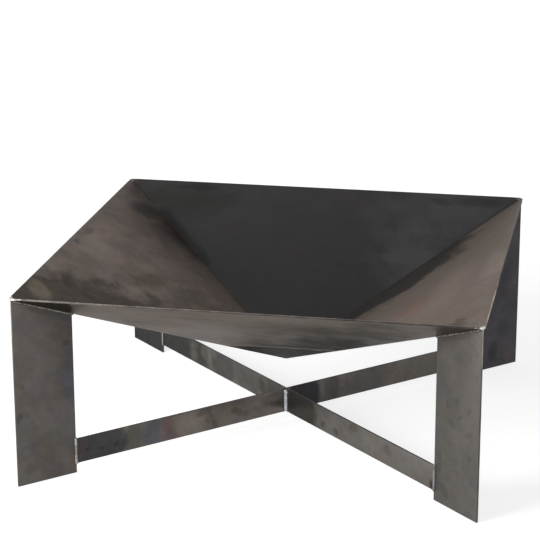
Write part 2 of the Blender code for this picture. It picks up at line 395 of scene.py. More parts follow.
def raw_steel(name, tone, seed, marks, contrast, cloud_size, tints, streaks=0):
    """Mill scale around one tone, with its streaks, scratches and marks."""
    material, place = sheet_material(name)
    skin = use(mill_scale, {
        "Place": place, "Cloud Size": cloud_size, "Seed": seed, "Contrast": contrast, "Tint Share": tints})
    marked = with_marks(place, seed, (*tone, 1), marks)
    rolling = {"Place": place, "Length": streak_length, "Width": streak_width, "Seed": seed}
    lines = use(rolled_streaks, rolling)["Streaks"]
    colour = arrow("MULTIPLY", marked, skin["Shade"])
    colour = scaled(colour, ease(lines, 0, 1, 1 - streaks, 1 + streaks))
    scored = 0
    for index, (angle, length, spacing, width) in enumerate(scratch_families):
        strokes = use(scratches, {
            "Place": place, "Angle": angle, "Length": length, "Spacing": spacing, "Width": width,
            "Share": scratch_share, "Seed": seed + index})["Scratches"]
        scored = calc("MAXIMUM", scored, strokes)
    lighter = scaled(colour, ease(scored, 0, 1, 1, scratch_gain))
    rough = plus(ease(skin["Clouds"], 0, 1, *satin_roughness),
                 vary(skin["Grain"], -grain_roughness, grain_roughness))
    relief = minus(times(skin["Grain"], 0.5), scored)
    shade_steel(lighter, rough, relief, strength=0.2, depth=0.0001, metallic=0.65, shine=0, shine_tint=0.5)
    return material


arris_softness = 0.0003
least_arris = 0.55
worn_edges = (0.4, 0.6)
cut_cloud_edges = (0.35, 0.65)
cut_cloud_contrast = 0.3
cut_line_contrast = 0.15
cut_roughness = 0.42


def cut_edge_steel(name, tone, arris_tone, arris_depth, marks=()):
    """The edge that the cutter leaves: dull, with fine lines across the plate and one bright, worn arris."""
    material, place = sheet_material(name)
    depth = add("ShaderNodeSeparateXYZ", {0: place})["Y"]
    wear = noise(place, seed=7, scale=70, roughness=0.6)
    near = ease(depth, arris_depth + arris_softness, arris_depth - arris_softness)
    worn = times(near, ease(wear, *worn_edges, least_arris, 1))
    marked = with_marks(place, 9, tint(worn, (*tone, 1), (*arris_tone, 1)), marks)
    lines = noise(place, seed=3, scale=900, detail=2)
    clouds = ease(noise(place, seed=5, scale=22), *cut_cloud_edges,
                  1 - cut_cloud_contrast, 1 + cut_cloud_contrast)
    contrast = vary(lines, 1 - cut_line_contrast, 1 + cut_line_contrast)
    colour = scaled(marked, times(contrast, clouds))
    shade_steel(
        colour, cut_roughness, lines, strength=0.3, depth=0.0002, metallic=0.8, shine=0.1, shine_tint=0.5)
    return material


merge_distance = 1e-6
flat_angle = math.radians(0.5)
sharp_angle = math.radians(50)


def node_copy(node):
    """A copy of a node's mesh, merged from loose triangles into its flat faces."""
    bm = bmesh.new()
    bm.from_mesh(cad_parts[node].data)
    bmesh.ops.remove_doubles(bm, verts=bm.verts, dist=merge_distance)
    bmesh.ops.dissolve_limit(bm, angle_limit=flat_angle, verts=bm.verts, edges=bm.edges)
    return bm


def finished_mesh(bm, name, materials):
    """The mesh of a shape that is done, sharp at its arrises, with its materials."""
    mesh = bpy.data.meshes.new(name)
    bm.to_mesh(mesh)
    bm.free()
    mesh.set_sharp_from_angle(angle=sharp_angle)
    for material in materials:
        mesh.materials.append(material)
    return mesh


on_face = 0.9


def plate_from(node, origin, along, up, face_materials, edge_material):
    """Copies a node's plate, rounds its edges, and lays its UV map flat on the sheet in metres.

    The sheet's own axes are given: along, and up, whose cross product is the normal of its first face.
    On the cut edges the map runs along the edge and then through the plate.
    """
    bm = node_copy(node)
    bmesh.ops.bevel(bm, geom=bm.edges[:], offset=edge_rounding, segments=2, profile=0.5, affect="EDGES")
    sheet = bm.loops.layers.uv.new("sheet")
    normal = along.cross(up)
    for face in bm.faces:
        facing = face.normal.dot(normal)
        face.material_index = 0 if facing > on_face else 1 if facing < -on_face else 2
        face.smooth = True
        first, second = along, up
        if face.material_index == 2:
            first, second = face.normal.cross(normal).normalized(), normal
        for loop in face.loops:
            from_origin = loop.vert.co - origin
            loop[sheet].uv = (from_origin.dot(first), from_origin.dot(second))
    plate = placed(node + "_plate", finished_mesh(bm, node + "_plate", (*face_materials, edge_material)))
    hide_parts(node)
    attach(plate, "root")


# Colours of the marks
smoke_brown = (0.08, 0.07, 0.062)
blue_black = (0.04, 0.041, 0.046)
dark_umber = (0.085, 0.072, 0.062)
khaki = (0.19, 0.176, 0.132)
pale_pink = (0.226, 0.184, 0.163)
copper = (0.225, 0.152, 0.118)
bare_grey = (0.34, 0.32, 0.29)

hip_turn = math.degrees(math.atan2(inner_rim_reach / math.cos(slope), inner_rim_reach))

# Each face's tone, then the contrast, size and tinted share of its clouds, then its marks
bowl_faces = {}
bowl_faces["left_inside"] = (0.178, 0.148, 0.132), (0.13, 0.06, 0.3), (
    (15, -55, 85, 48, 0, (0.214, 0.178, 0.159), 70, 90),
    (-85, -42, 110, 34, 5, pale_pink, 75, 80),
    (225, -105, 260, 122, hip_turn, (0.074, 0.064, 0.057), 95, 50),
    (20, -235, 110, 100, 0, (0.1, 0.086, 0.077), 75, 70),
    (10, -150, 80, 34, 20, (0.11, 0.091, 0.079), 75, 80),
    (-118, -104, 66, 28, 10, (0.222, 0.182, 0.162), 75, 80),
    (-246, -60, 52, 34, 20, (0.072, 0.067, 0.067), 85, 60),
    (-190, -112, 55, 30, -30, (0.092, 0.08, 0.073), 50, 70),
    (130, -56, 42, 22, 10, (0.19, 0.16, 0.142), 65, 80),
    (48, -111, 50, 30, 0, (0.105, 0.089, 0.078), 50, 80),
    (-300, -20, 60, 20, 0, (0.112, 0.093, 0.084), 65, 80),
    (-300, -48, 60, 8, -hip_turn, khaki, 60, 60),
    (-128, -100, 18, 10, 30, khaki, 40, 70),
    (272, -24, 40, 24, -30, (0.16, 0.138, 0.108), 75, 50),
    (-32, -14, 22, 8, 10, smoke_brown, 55, 70),
    (31, -12, 18, 8, -15, smoke_brown, 55, 70),
    # Painted shade along the back hip, matched by a band on the back face.
    (-225, -140, 130, 44, -hip_turn, (0.034, 0.031, 0.029), 85, 90))
# The back face inside has a far darker tone than the other faces: painted reflection of a dark ceiling.
bowl_faces["back_inside"] = (0.06, 0.058, 0.057), (0.05, 0.09, 0.1), (
    (-220, -50, 170, 85, 0, (0.082, 0.079, 0.079), 85, 90),
    (250, -40, 150, 70, 0, (0.044, 0.043, 0.041), 85, 90),
    (-185, -160, 110, 110, 0, (0.096, 0.098, 0.098), 85, 90),
    # Painted shade along the hip shared with the left face.
    (225, -140, 140, 21, hip_turn, (0.026, 0.026, 0.025), 85, 80),
    (-275, -17, 60, 14, 0, blue_black, 65, 70),
    (-210, -20, 30, 10, 12, blue_black, 60, 70),
    (225, -14, 50, 10, 0, (0.034, 0.033, 0.036), 60, 70))
bowl_faces["right_inside"] = (0.205, 0.17, 0.147), (0.07, 0.09, 0.22), (
    (-10, -90, 120, 55, 10, (0.27, 0.22, 0.188), 70, 90),
    (-20, -14, 130, 34, 0, (0.29, 0.24, 0.208), 75, 90),
    # Painted shade along the back hip.
    (150, -230, 220, 111, hip_turn, (0.057, 0.053, 0.051), 97, 40),
    (-50, -155, 70, 45, 0, copper, 55, 90),
    (-262, -66, 55, 16, -hip_turn, dark_umber, 60, 80),
    (-250, -52, 20, 9, -hip_turn, dark_umber, 55, 70),
    (320, -20, 40, 7, hip_turn, khaki, 60, 70),
    (44, -35, 22, 1.4, 50, bare_grey, 40, 70),
    (-2, -26, 14, 1.2, 44, bare_grey, 40, 70),
    (-135, -27, 18, 1.4, 52, bare_grey, 40, 70))
bowl_faces["front_outside"] = (0.2, 0.171, 0.15), (0.06, 0.1, 0.18), (
    # The two dark wedges under the rim beside the legs are painted reflections of the legs.
    (-310, -14, 55, 150, -15, (0.05, 0.042, 0.034), 96, 10),
    (338, -20, 56, 150, -5, (0.134, 0.114, 0.102), 85, 12),
    (-140, -85, 70, 30, -8, (0.222, 0.184, 0.158), 45, 80),
    # The next four marks darken the face towards the right and down to the tip: painted reflection of the
    # shaded floor and the bars under the bowl.
    (90, -105, 130, 95, 5, (0.114, 0.102, 0.087), 75, 90),
    (172, -108, 125, 76, 8, (0.058, 0.049, 0.04), 93, 80),
    (110, -215, 165, 100, 14, (0.02, 0.018, 0.015), 92, 90),
    (50, -268, 130, 28, 0, (0.02, 0.018, 0.014), 90, 80),
    (188, -42, 66, 44, 10, (0.09, 0.079, 0.067), 85, 80),
    (250, -38, 40, 22, 0, (0.17, 0.155, 0.14), 80, 70),
    (255, -12, 50, 14, 0, (0.225, 0.203, 0.184), 75, 80),
    (-89, -64, 60, 10, 0, (0.135, 0.096, 0.076), 65, 60),
    (-180, -124, 24, 12, -10, (0.11, 0.106, 0.082), 65, 60),
    (-75, -225, 40, 50, 0, (0.19, 0.158, 0.126), 60, 80),
    (-215, -50, 40, 30, 0, (0.186, 0.18, 0.172), 60, 80),
    # The near-black tip is painted reflection as well, and a thin light line runs along its top edge.
    (20, -352.5, 200, 68, 2, (0.008, 0.006, 0.004), 98, 12),
    (30, -282.5, 86, 3.4, 2, (0.4, 0.38, 0.34), 80, 60))
unseen_tones = (
    (0.19, 0.163, 0.144), (0.17, 0.15, 0.136), (0.16, 0.147, 0.138), (0.184, 0.16, 0.146))
unseen_clouds = (0.09, 0.08, 0.25)
unseen_marks = (
    (150, -70, 120, 50, 8, smoke_brown, 60, 80),
    (-170, -50, 90, 40, -12, pale_pink, 50, 80),
    (10, -220, 80, 90, 0, smoke_brown, 55, 80),
    (-60, -120, 45, 18, 25, (0.075, 0.072, 0.074), 60, 70))

# The rim's cut edge, brighter where hands and the grinder have rubbed it
bright_rub = (0.62, 0.59, 0.56)
pink_rub = (0.29, 0.24, 0.22)
rim_rubs = (
    (-345, 0, 20, 4, 0, bright_rub, 90, 50),
    (-270, 0, 46, 0.7, 0, pink_rub, 50, 60),
    (302, 0, 30, 0.8, 0, pink_rub, 90, 60))
right_rubs = ((-250, 1.5, 150, 5, 0, (0.46, 0.41, 0.35), 90, 70),)
rim_tones = (0.056, 0.05, 0.046), (0.22, 0.2, 0.184)
rim_arris_depth = 0.0009
rim_edge = cut_edge_steel("rim_cut_edge", *rim_tones, rim_arris_depth, rim_rubs)
right_rim_edge = cut_edge_steel("right_rim_cut_edge", *rim_tones, rim_arris_depth, right_rubs)


def turned_by(quarters):
    """A turn to the left by quarters of a circle."""
    return Matrix.Rotation(quarters * math.pi / 2, 3, "Z")


side_names = ("front", "right", "back", "left")
face_seeds = {"outside": 21, "inside": 1}
panel_seed_step = 3.1
panel_streaks = 0.01
for quarter, side in enumerate(side_names):
    turn = turned_by(quarter)
    along = turn @ Vector((1, 0, 0))
    up_slope = turn @ Vector((0, -math.cos(slope), math.sin(slope)))
    rim_middle = turn @ Vector((0, -inner_rim_reach, overall_height))
    unseen = (unseen_tones[quarter], unseen_clouds, unseen_marks)
    faces = []
    for face, seed in face_seeds.items():
        name = f"{side}_{face}"
        tone, clouds, marks = bowl_faces.get(name, unseen)
        own_seed = seed + quarter * panel_seed_step
        faces.append(raw_steel(f"bowl_{name}", tone, own_seed, marks, *clouds, panel_streaks))
    edge = right_rim_edge if side == "right" else rim_edge
    plate_from(f"bowl_panel_{side}", rim_middle, along, up_slope, faces, edge)


# The panels' slanted edges meet in an open groove on the outside, which is welded full and ground flush.
# At the rim each seam ends in a rounded spot of weld metal over the leg, which is ground, bright at the two
# front corners and dull at the back.
# A plug of weld metal closes the tip, where the four seams meet.
corner_names = ("front_right", "back_right", "back_left", "front_left")
sheet_depth = plate_thickness / math.cos(slope)
tip_height = overall_height - plate_thickness * math.cos(slope) - bowl_drop
hip_rise = math.tan(slope) / math.sqrt(2)
leg_setback = 0.005
leg_outer = rim_reach * math.sqrt(2) - leg_setback
corner_weld_length = 0.006
corner_weld_start = leg_outer - corner_weld_length
tip_weld_half = 0.006
seam_half_width = 0.0029
ridge_half_width = 0.00075
fillet_half_width = 0.0007
proud = 0.00006
overlap = 0.0005
line_width = 0.00045
strip_softness = 0.0015
aged_edges = (0.4, 0.62)
most_aged = 0.6
line_contrast = 0.25
line_roughness = 0.16


def ground_steel(name, tone, aged_tone, strip_half, line_length=0.03, smoothest=0.26):
    """Weld metal after the grinder: fine bright lines, aged in patches and beside a bright strip."""
    material, place = sheet_material(name)
    grinding = {"Place": place, "Length": line_length, "Width": line_width, "Seed": 2}
    lines = use(rolled_streaks, grinding)["Streaks"]
    blotches = noise(place, seed=4, scale=60, detail=4, roughness=0.6)
    patches = ease(blotches, *aged_edges, 0, most_aged)
    aside = calc("ABSOLUTE", add("ShaderNodeSeparateXYZ", {0: place})["Y"])
    beyond = ease(aside, strip_half, strip_half + strip_softness)
    aged = tint(calc("MAXIMUM", patches, beyond), (*tone, 1), (*aged_tone, 1))
    colour = scaled(aged, ease(lines, 0, 1, 1 - line_contrast, 1 + line_contrast))
    rough = ease(lines, 0, 1, smoothest + line_roughness, smoothest)
    shade_steel(colour, rough, lines, strength=0.35, depth=0.00015, metallic=0.9, shine=0.5, shine_tint=0.6)
    return material


def underside(distance, across):
    """Height of the bowl's outer face, by the distance along a diagonal and to one side of it."""
    return tip_height + (distance + abs(across)) * hip_rise


upward = 0.3


def finish_ground(bm, node, turn, rounding, outside, inside):
    """Rounds a piece's edges, shades it and lays its UV map along the seam and across it."""
    bmesh.ops.bevel(bm, geom=bm.edges[:], offset=rounding, segments=3, profile=0.5, affect="EDGES")
    bmesh.ops.recalc_face_normals(bm, faces=bm.faces)
    sheet = bm.loops.layers.uv.new("sheet")
    along = turn @ Vector((1, 0, 0))
    across = turn @ Vector((0, 1, 0))
    for face in bm.faces:
        face.smooth = True
        face.material_index = 1 if face.normal.z > upward else 0
        for loop in face.loops:
            loop[sheet].uv = (loop.vert.co.dot(along), loop.vert.co.dot(across))
    piece = placed(node + "_ground", finished_mesh(bm, node + "_ground", (outside, inside)))
    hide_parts(node)
    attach(piece, "root")


def solid_between(rings, turn):
    """A closed solid through a row of rings with the same number of points, turned to its corner."""
    bm = bmesh.new()
    rows = [[bm.verts.new(turn @ Vector(point)) for point in ring] for ring in rings]
    for near, far in zip(rows, rows[1:]):
        for k in range(len(near)):
            following = (k + 1) % len(near)
            bm.faces.new((near[k], near[following], far[following], far[k]))
    bm.faces.new(rows[0])
    bm.faces.new(rows[-1])
    return bm


def seam_ring(distance):
    """The seam across its hip: a little proud outside, flat on the ridge, and a narrow fillet inside."""
    half = fillet_half_width
    inside = underside(distance, half) + sheet_depth
    edge = underside(distance, seam_half_width) - proud
    ridge = underside(distance, ridge_half_width) - proud
    right = [(half, inside), (seam_half_width, edge), (ridge_half_width, ridge)]
    left = [(-across, height) for across, height in reversed(right)]
    return [(distance, across, height) for across, height in right + left]


ground_bright = (0.64, 0.61, 0.58)
ground_dull = (0.15, 0.135, 0.12)
fine_lines = 0.006
seam_strip = 0.004
spot_strip = 0.0042
wide_strip = 0.009
soot_roughness = 0.55
seam_outside = ground_steel("ground_seam", (0.2, 0.182, 0.165), (0.085, 0.074, 0.064), seam_strip)
seam_inside = ground_steel(
    "sooted_seam", (0.05, 0.043, 0.038), (0.03, 0.026, 0.024), seam_strip, smoothest=soot_roughness)
round_spot = ground_steel("ground_corner_round", ground_bright, ground_dull, spot_strip, fine_lines)
wide_spot = ground_steel("ground_corner_wide", ground_bright, ground_dull, wide_strip, fine_lines)
dull_spot = ground_steel(
    "ground_corner_dull", (0.19, 0.172, 0.156), (0.08, 0.072, 0.065), spot_strip, fine_lines)
corner_spots = {"front_right": round_spot, "front_left": wide_spot}
seam_rounding = 0.0001
spot_rounding = 0.0006
spot_pull = 0.0009
spot_drop = 0.0006
spot_margin = 0.001
spot_base = tip_height + leg_outer * hip_rise + spot_margin
seam_rings = [seam_ring(tip_weld_half * math.sqrt(2) - overlap), seam_ring(corner_weld_start)]
for quarter, corner in enumerate(corner_names):
    turn = turned_by(quarter - 0.5)
    seam = solid_between(seam_rings, turn)
    finish_ground(seam, f"hip_weld_{corner}", turn, seam_rounding, seam_outside, seam_inside)

    spot = node_copy(f"corner_weld_{corner}")
    inwards = turn @ Vector((-1, 0, 0))
    for vertex in spot.verts:
        if -vertex.co.dot(inwards) < corner_weld_start + overlap:
            vertex.co += inwards * spot_pull + vertex.normal * proud
        elif vertex.co.z < spot_base:
            vertex.co.z -= spot_drop
        vertex.co.z = min(vertex.co.z, overall_height)
    steel = corner_spots.get(corner, dull_spot)
    finish_ground(spot, f"corner_weld_{corner}", turn, spot_rounding, steel, steel)

plug_half = tip_weld_half + overlap
plug_low = tip_height + plug_half * math.tan(slope) - proud
plug_flat = 0.001
plug_point = tip_height + plug_flat * math.tan(slope)
plug_rounding = 0.0003
plug_squares = [
    square(plug_half, plug_low + sheet_depth), square(plug_half, plug_low), square(plug_flat, plug_point)]
plug = solid_between(plug_squares, Matrix.Identity(3))
finish_ground(plug, "tip_weld", Matrix.Identity(3), plug_rounding, seam_outside, seam_inside)


# The legs are strips of the same plate, 100 mm wide, that stand on edge in the bowl's diagonals.
# Their tops are cut to the slope of the hip, and their outer edges are ground flush with the rim's corners.
leg_width = 0.1
leg_inner = leg_outer - leg_width
rise_turn = math.degrees(math.atan(hip_rise))
weld_middle = leg_outer - leg_width / 2

# Where welding has coloured the legs: under the bowl, and beside the bar's end
weld_tint = (1000 * weld_middle, 1000 * underside(weld_middle, 0) - 6, 55, 7, rise_turn)
joint_tint = (1000 * leg_inner, 35, 10, 28, 0)
straw_line = (1000 * leg_inner + 3.6, 35, 1.2, 26, 0)

# Each leg's tone, the tinted share of its clouds and the marks on its front face
leg_faces = {}
leg_faces["front_left"] = (0.112, 0.103, 0.095), 0.5, (
    (446, 235, 40, 45, 0, (0.127, 0.115, 0.107), 70, 80),
    (440, 45, 50, 45, 0, (0.099, 0.091, 0.083), 70, 80),
    (396, 152, 20, 70, 0, (0.092, 0.091, 0.107), 88, 60),
    (420, 110, 12, 30, 0, (0.108, 0.09, 0.095), 65, 70),
    (402, 214, 10, 7, 10, (0.078, 0.071, 0.065), 65, 80),
    (425, 232, 12, 10, -20, (0.096, 0.088, 0.08), 60, 70),
    (484, 110, 6, 13, 20, (0.07, 0.066, 0.062), 70, 60),
    (479, 158, 11, 7, 45, (0.082, 0.078, 0.074), 60, 70),
    (474, 52, 10, 8, -20, (0.132, 0.128, 0.114), 60, 60),
    (459, 58, 13, 10, 0, (0.086, 0.079, 0.07), 45, 70),
    (470, 24, 12, 12, 0, (0.084, 0.078, 0.072), 60, 70))
leg_faces["front_right"] = (0.121, 0.113, 0.104), 0.25, (
    (445, 240, 45, 35, 0, (0.11, 0.102, 0.093), 70, 90),
    (418, 161, 3.5, 10, 15, (0.08, 0.074, 0.068), 60, 70),
    (440, 173, 11, 6, 60, (0.094, 0.087, 0.08), 60, 60),
    (466, 163, 6, 14, -35, (0.092, 0.083, 0.078), 65, 60),
    (447, 150, 4, 12, -55, (0.094, 0.086, 0.079), 60, 60),
    (426, 134, 13, 6, -35, (0.097, 0.09, 0.08), 65, 60),
    (467, 129, 6, 13, -60, (0.092, 0.084, 0.077), 65, 60),
    (470, 92, 9, 6, 40, (0.094, 0.085, 0.078), 60, 60),
    (400, 70, 12, 34, 0, (0.092, 0.085, 0.078), 60, 80),
    (414, 22, 24, 14, -25, (0.084, 0.078, 0.07), 65, 70),
    (455, 50, 30, 10, -45, (0.1, 0.093, 0.085), 60, 80))
# The back right leg's darker tone is partly its bluer scale and partly painted shade from under the bowl.
leg_faces["back_right"] = (0.068, 0.065, 0.07), 0.25, (
    (452, 165, 30, 60, 0, (0.052, 0.051, 0.058), 75, 80),
    (482, 150, 10, 40, 0, (0.08, 0.074, 0.08), 60, 80),
    (462, 70, 30, 24, 0, (0.053, 0.051, 0.057), 75, 80),
    (476, 20, 22, 32, 0, (0.092, 0.081, 0.081), 85, 70),
    (436, 30, 16, 30, 0, (0.045, 0.044, 0.05), 80, 60))
leg_faces["back_left"] = (0.051, 0.051, 0.05), 0.25, ()
leg_rubs = ((-275, 0, 50, 1.2, 0, (0.42, 0.4, 0.33), 75, 60),)
leg_tones = (0.085, 0.079, 0.072), (0.15, 0.14, 0.128)
side_arris_depth = -0.0006
leg_edge = cut_edge_steel("leg_cut_edge", *leg_tones, side_arris_depth, leg_rubs)
welded = (
    (*weld_tint, (0.078, 0.064, 0.056), 50, 80),
    (*joint_tint, (0.072, 0.062, 0.058), 50, 80),
    (*straw_line, (0.135, 0.066, 0.036), 70, 60))
leg_front_clouds = (0.09, 0.035)
leg_back_clouds = (0.12, 0.045, 0.32)
leg_front_seed = 41
leg_back_seed = 51
seed_step = 2.3
for quarter, corner in enumerate(corner_names):
    tone, tints, marks = leg_faces[corner]
    shift = quarter * seed_step
    front_face = raw_steel(
        f"leg_{corner}_front", tone, leg_front_seed + shift, marks + welded, *leg_front_clouds, tints)
    back_face = raw_steel(f"leg_{corner}_back", tone, leg_back_seed + shift, welded, *leg_back_clouds)
    faces = (front_face, back_face) if corner.endswith("right") else (back_face, front_face)
    along = turned_by(quarter - 0.5) @ Vector((1, 0, 0))
    plate_from(f"leg_{corner}", Vector(), along, Vector((0, 0, 1)), faces, leg_edge)


# A fillet bead joins each leg to the bowl: out along one face, round the inner edge, back along the other.
# It is laid by hand, so that it shows one scale-like ripple after another, and only brushed afterwards.
fillet_size = 0.003
fillet_crown = 0.0006
bead_pitch = 0.0026
ripple_depth = 0.0004
ripple_bow = 0.0014
ripple_rise = 0.6
ripple_fall = 6
unevenness = 0.5
wobble_scale = 160
least_swell = 0.15
steps_per_ripple = 8
points_across = 11
root_sink = 0.0001


def bead_tree():
    """Geometry nodes that lay a rippled bead along a rail.

    The rail's points hold the way out and the directions of the bead's two toes.
    """
    tree = bpy.data.node_groups.new("weld_bead", "GeometryNodeTree")
    numbers = ("Size", "Crown", "Pitch", "Ripple Depth", "Bow", "Unevenness", "Seed")
    sockets = {"Rail": "Geometry", **dict.fromkeys(numbers, "Float"), "Steel": "Material"}
    for label, kind in sockets.items():
        tree.interface.new_socket(label, in_out="INPUT", socket_type="NodeSocket" + kind)
    tree.interface.new_socket("Bead", in_out="OUTPUT", socket_type="NodeSocketGeometry")
    given = tree.nodes.new("NodeGroupInput").outputs
    result = tree.nodes.new("NodeGroupOutput")

    def stored(geometry, name, kind, value):
        inputs = {"Name": name, "Geometry": geometry, "Value": value}
        return add("GeometryNodeStoreNamedAttribute", inputs, data_type=kind, domain="POINT")[0]

    def kept(name, kind):
        return add("GeometryNodeInputNamedAttribute", {"Name": name}, tree, data_type=kind)[0]

    curve = add("GeometryNodeMeshToCurve", {"Mesh": given["Rail"]})[0]
    step = over(given["Pitch"], steps_per_ripple)
    finely = {"Curve": curve, "Length": step}
    rail = add("GeometryNodeResampleCurve", finely, mode="LENGTH")[0]
    run = add("GeometryNodeSplineParameter", tree=tree)["Length"]
    whole = add("GeometryNodeSplineLength", tree=tree)["Length"]
    to_end = calc("MINIMUM", run, minus(whole, run))
    shortfall = calc("MAXIMUM", minus(1, over(to_end, given["Size"])), 0)
    rounded = calc("SQRT", minus(1, times(shortfall, shortfall)))
    at_seed = {"Vector": flat(run, given["Seed"]), "Scale": wobble_scale, "Detail": 2}
    wobble = minus(add("ShaderNodeTexNoise", at_seed)[0], 0.5)
    uneven = plus(1, times(wobble, given["Unevenness"]))
    swell = times(calc("MAXIMUM", rounded, least_swell), uneven)
    rail = stored(rail, "run", "FLOAT", run)
    rail = stored(rail, "swell", "FLOAT", swell)
    rail = stored(rail, "spine", "FLOAT_VECTOR", add("GeometryNodeInputPosition", tree=tree)[0])

    closed_ring = {"Resolution": points_across + 1, "Radius": 0.001}
    circle = add("GeometryNodeCurvePrimitiveCircle", closed_ring, tree)[0]
    index = add("GeometryNodeInputIndex", tree=tree)[0]
    across = minus(over(index, (points_across - 1) / 2), 1)
    section = stored(circle, "across", "FLOAT", across)
    section = stored(section, "skin", "FLOAT", calc("LESS_THAN", index, points_across - 0.5))
    swept = {"Curve": rail, "Profile Curve": section, "Fill Caps": True}
    bead = add("GeometryNodeCurveToMesh", swept)[0]

    toe_a = kept("first_toe", "FLOAT_VECTOR")
    toe_b = kept("second_toe", "FLOAT_VECTOR")
    side = kept("across", "FLOAT")
    squared = times(side, side)
    bulge = minus(1, squared)
    lead = times(squared, given["Bow"])
    phase = calc("FRACT", over(plus(kept("run", "FLOAT"), lead), given["Pitch"]))
    wave = times(calc("POWER", phase, ripple_rise), minus(1, calc("POWER", phase, ripple_fall)))
    ripple = times(times(wave, given["Ripple Depth"]), bulge)
    rise = plus(times(given["Crown"], bulge), ripple)
    middle = scaled(arrow("ADD", toe_a, toe_b), 0.5)
    half_chord = scaled(arrow("SUBTRACT", toe_b, toe_a), times(side, 0.5))
    on_chord = scaled(arrow("ADD", middle, half_chord), given["Size"])
    lifted = arrow("ADD", on_chord, scaled(kept("outward", "FLOAT_VECTOR"), rise))
    scale_there = times(kept("swell", "FLOAT"), kept("skin", "FLOAT"))
    place = arrow("ADD", kept("spine", "FLOAT_VECTOR"), scaled(lifted, scale_there))
    shaped = add("GeometryNodeSetPosition", {"Geometry": bead, "Position": place})[0]
    smooth = add("GeometryNodeSetShadeSmooth", {"Geometry": shaped})[0]
    real = add("GeometryNodeRealizeInstances", {"Geometry": smooth})[0]
    steel = add("GeometryNodeSetMaterial", {"Geometry": real, "Material": given["Steel"]})[0]
    tree.links.new(steel, result.inputs["Bead"])
    return tree


soot_shares = (0.16, 0.14, 0.13)
most_soot = 0.85
dash_reach = 0.07
brushed_edges = (0.4, 0.58)
speck_contrast = 0.22
bead_roughness = (0.34, 0.5)


def weld_steel(name, tone, browned, dash_length, patch_size, toe_start, lean=0):
    """Weld metal as laid: bright where the brush reached it, browned elsewhere, and sooted at its toes.

    With a lean, the bright strip lies nearer to the bead's first toe.
    """
    material, tree = blank_material(name)
    place = add("ShaderNodeTexCoord", tree=tree)["Object"]
    across = add("ShaderNodeAttribute", tree=tree, attribute_name="across")["Fac"]
    run = add("ShaderNodeAttribute", tree=tree, attribute_name="run")["Fac"]
    specks = noise(place, seed=1, scale=900, roughness=0.6)
    patches = noise(place, seed=2, scale=1 / patch_size, roughness=0.6)
    dashes = calc("SINE", times(run, 2 * math.pi / dash_length))
    reached = ease(plus(times(dashes, dash_reach), patches), *brushed_edges)
    to_toe = ease(calc("ABSOLUTE", plus(across, lean)), toe_start, 1)
    brown = [value * browned for value in tone]
    sooty = [value * share for value, share in zip(tone, soot_shares)]
    brushed = tint(reached, (*brown, 1), (*tone, 1))
    sooted = tint(times(to_toe, most_soot), brushed, (*sooty, 1))
    colour = scaled(sooted, vary(specks, 1 - speck_contrast, 1 + speck_contrast))
    rough = vary(specks, *bead_roughness)
    shade_steel(colour, rough, specks, strength=0.3, depth=0.0002, metallic=0.85, shine=0.2, shine_tint=0.6)
    return material


weld_bead = bead_tree()
dull_bead_steel = weld_steel(
    "sooted_bead", (0.225, 0.21, 0.19), browned=0.4, dash_length=0.0085, patch_size=0.0045, toe_start=0.3)
rail_directions = ("first_toe", "second_toe", "outward")


def lay_bead(node, turn, rail, size, crown, seed, steel):
    """Lays a bead along a rail of points, each with its place, its two toes' directions and the way out."""
    mesh = bpy.data.meshes.new(node + "_bead")
    steps = [(k, k + 1) for k in range(len(rail) - 1)]
    mesh.from_pydata([turn @ Vector(point[0]) for point in rail], steps, [])
    for column, name in enumerate(rail_directions, start=1):
        attribute = mesh.attributes.new(name, "FLOAT_VECTOR", "POINT")
        for point, entry in zip(rail, attribute.data):
            entry.vector = turn @ Vector(point[column]).normalized()
    bead = placed(node + "_bead", mesh)
    modifier = bead.modifiers.new("weld_bead", "NODES")
    modifier.node_group = weld_bead
    values = {"Size": size, "Crown": crown, "Pitch": bead_pitch, "Ripple Depth": ripple_depth,
              "Bow": ripple_bow, "Unevenness": unevenness, "Seed": seed, "Steel": steel}
    for item in weld_bead.interface.items_tree:
        if item.in_out == "INPUT" and item.name in values:
            modifier[item.identifier] = values[item.name]
    depsgraph = bpy.context.evaluated_depsgraph_get()
    laid = bpy.data.meshes.new_from_object(bead.evaluated_get(depsgraph))
    bead.modifiers.clear()
    bead.data = laid
    bpy.data.meshes.remove(mesh)
    for name in (*rail_directions, "swell", "spine", "skin"):
        laid.attributes.remove(laid.attributes[name])
    bm = bmesh.new()
    bm.from_mesh(laid)
    bmesh.ops.recalc_face_normals(bm, faces=bm.faces)
    bm.to_mesh(laid)
    bm.free()
    laid.name = node + "_bead"
    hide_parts(node)
    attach(bead, "root")


def fillet_point(distance, across, out_along, out_across):
    """A point of the fillet's root, between the leg's face and the bowl's underside."""
    climb = hip_rise * (out_along + abs(out_across))
    bowl_toe = Vector((out_along, out_across, climb)).normalized()
    leg_toe = Vector((0, 0, -1))
    root = (distance, across, underside(distance, across) + root_sink)
    return root, leg_toe, bowl_toe, leg_toe + bowl_toe


half_plate = plate_thickness / 2
bead_setback = 0.003
bead_outer_end = leg_outer - bead_setback
round_steps = 12
fillet_seed = 1.0
fillet_rail = [fillet_point(bead_outer_end, half_plate - root_sink, 0, 1)]
for k in range(round_steps + 1):
    angle = math.pi / 2 + math.pi * k / round_steps
    away, aside = math.cos(angle), math.sin(angle)
    distance = leg_inner + half_plate * (1 + away)
    fillet_rail.append(fillet_point(distance, half_plate * aside, away, aside))
fillet_rail.append(fillet_point(bead_outer_end, root_sink - half_plate, 0, -1))
for quarter, corner in enumerate(corner_names):
    lay_bead(f"leg_weld_{corner}", turned_by(quarter - 0.5), fillet_rail, fillet_size, fillet_crown,
             fillet_seed + quarter, dull_bead_steel)


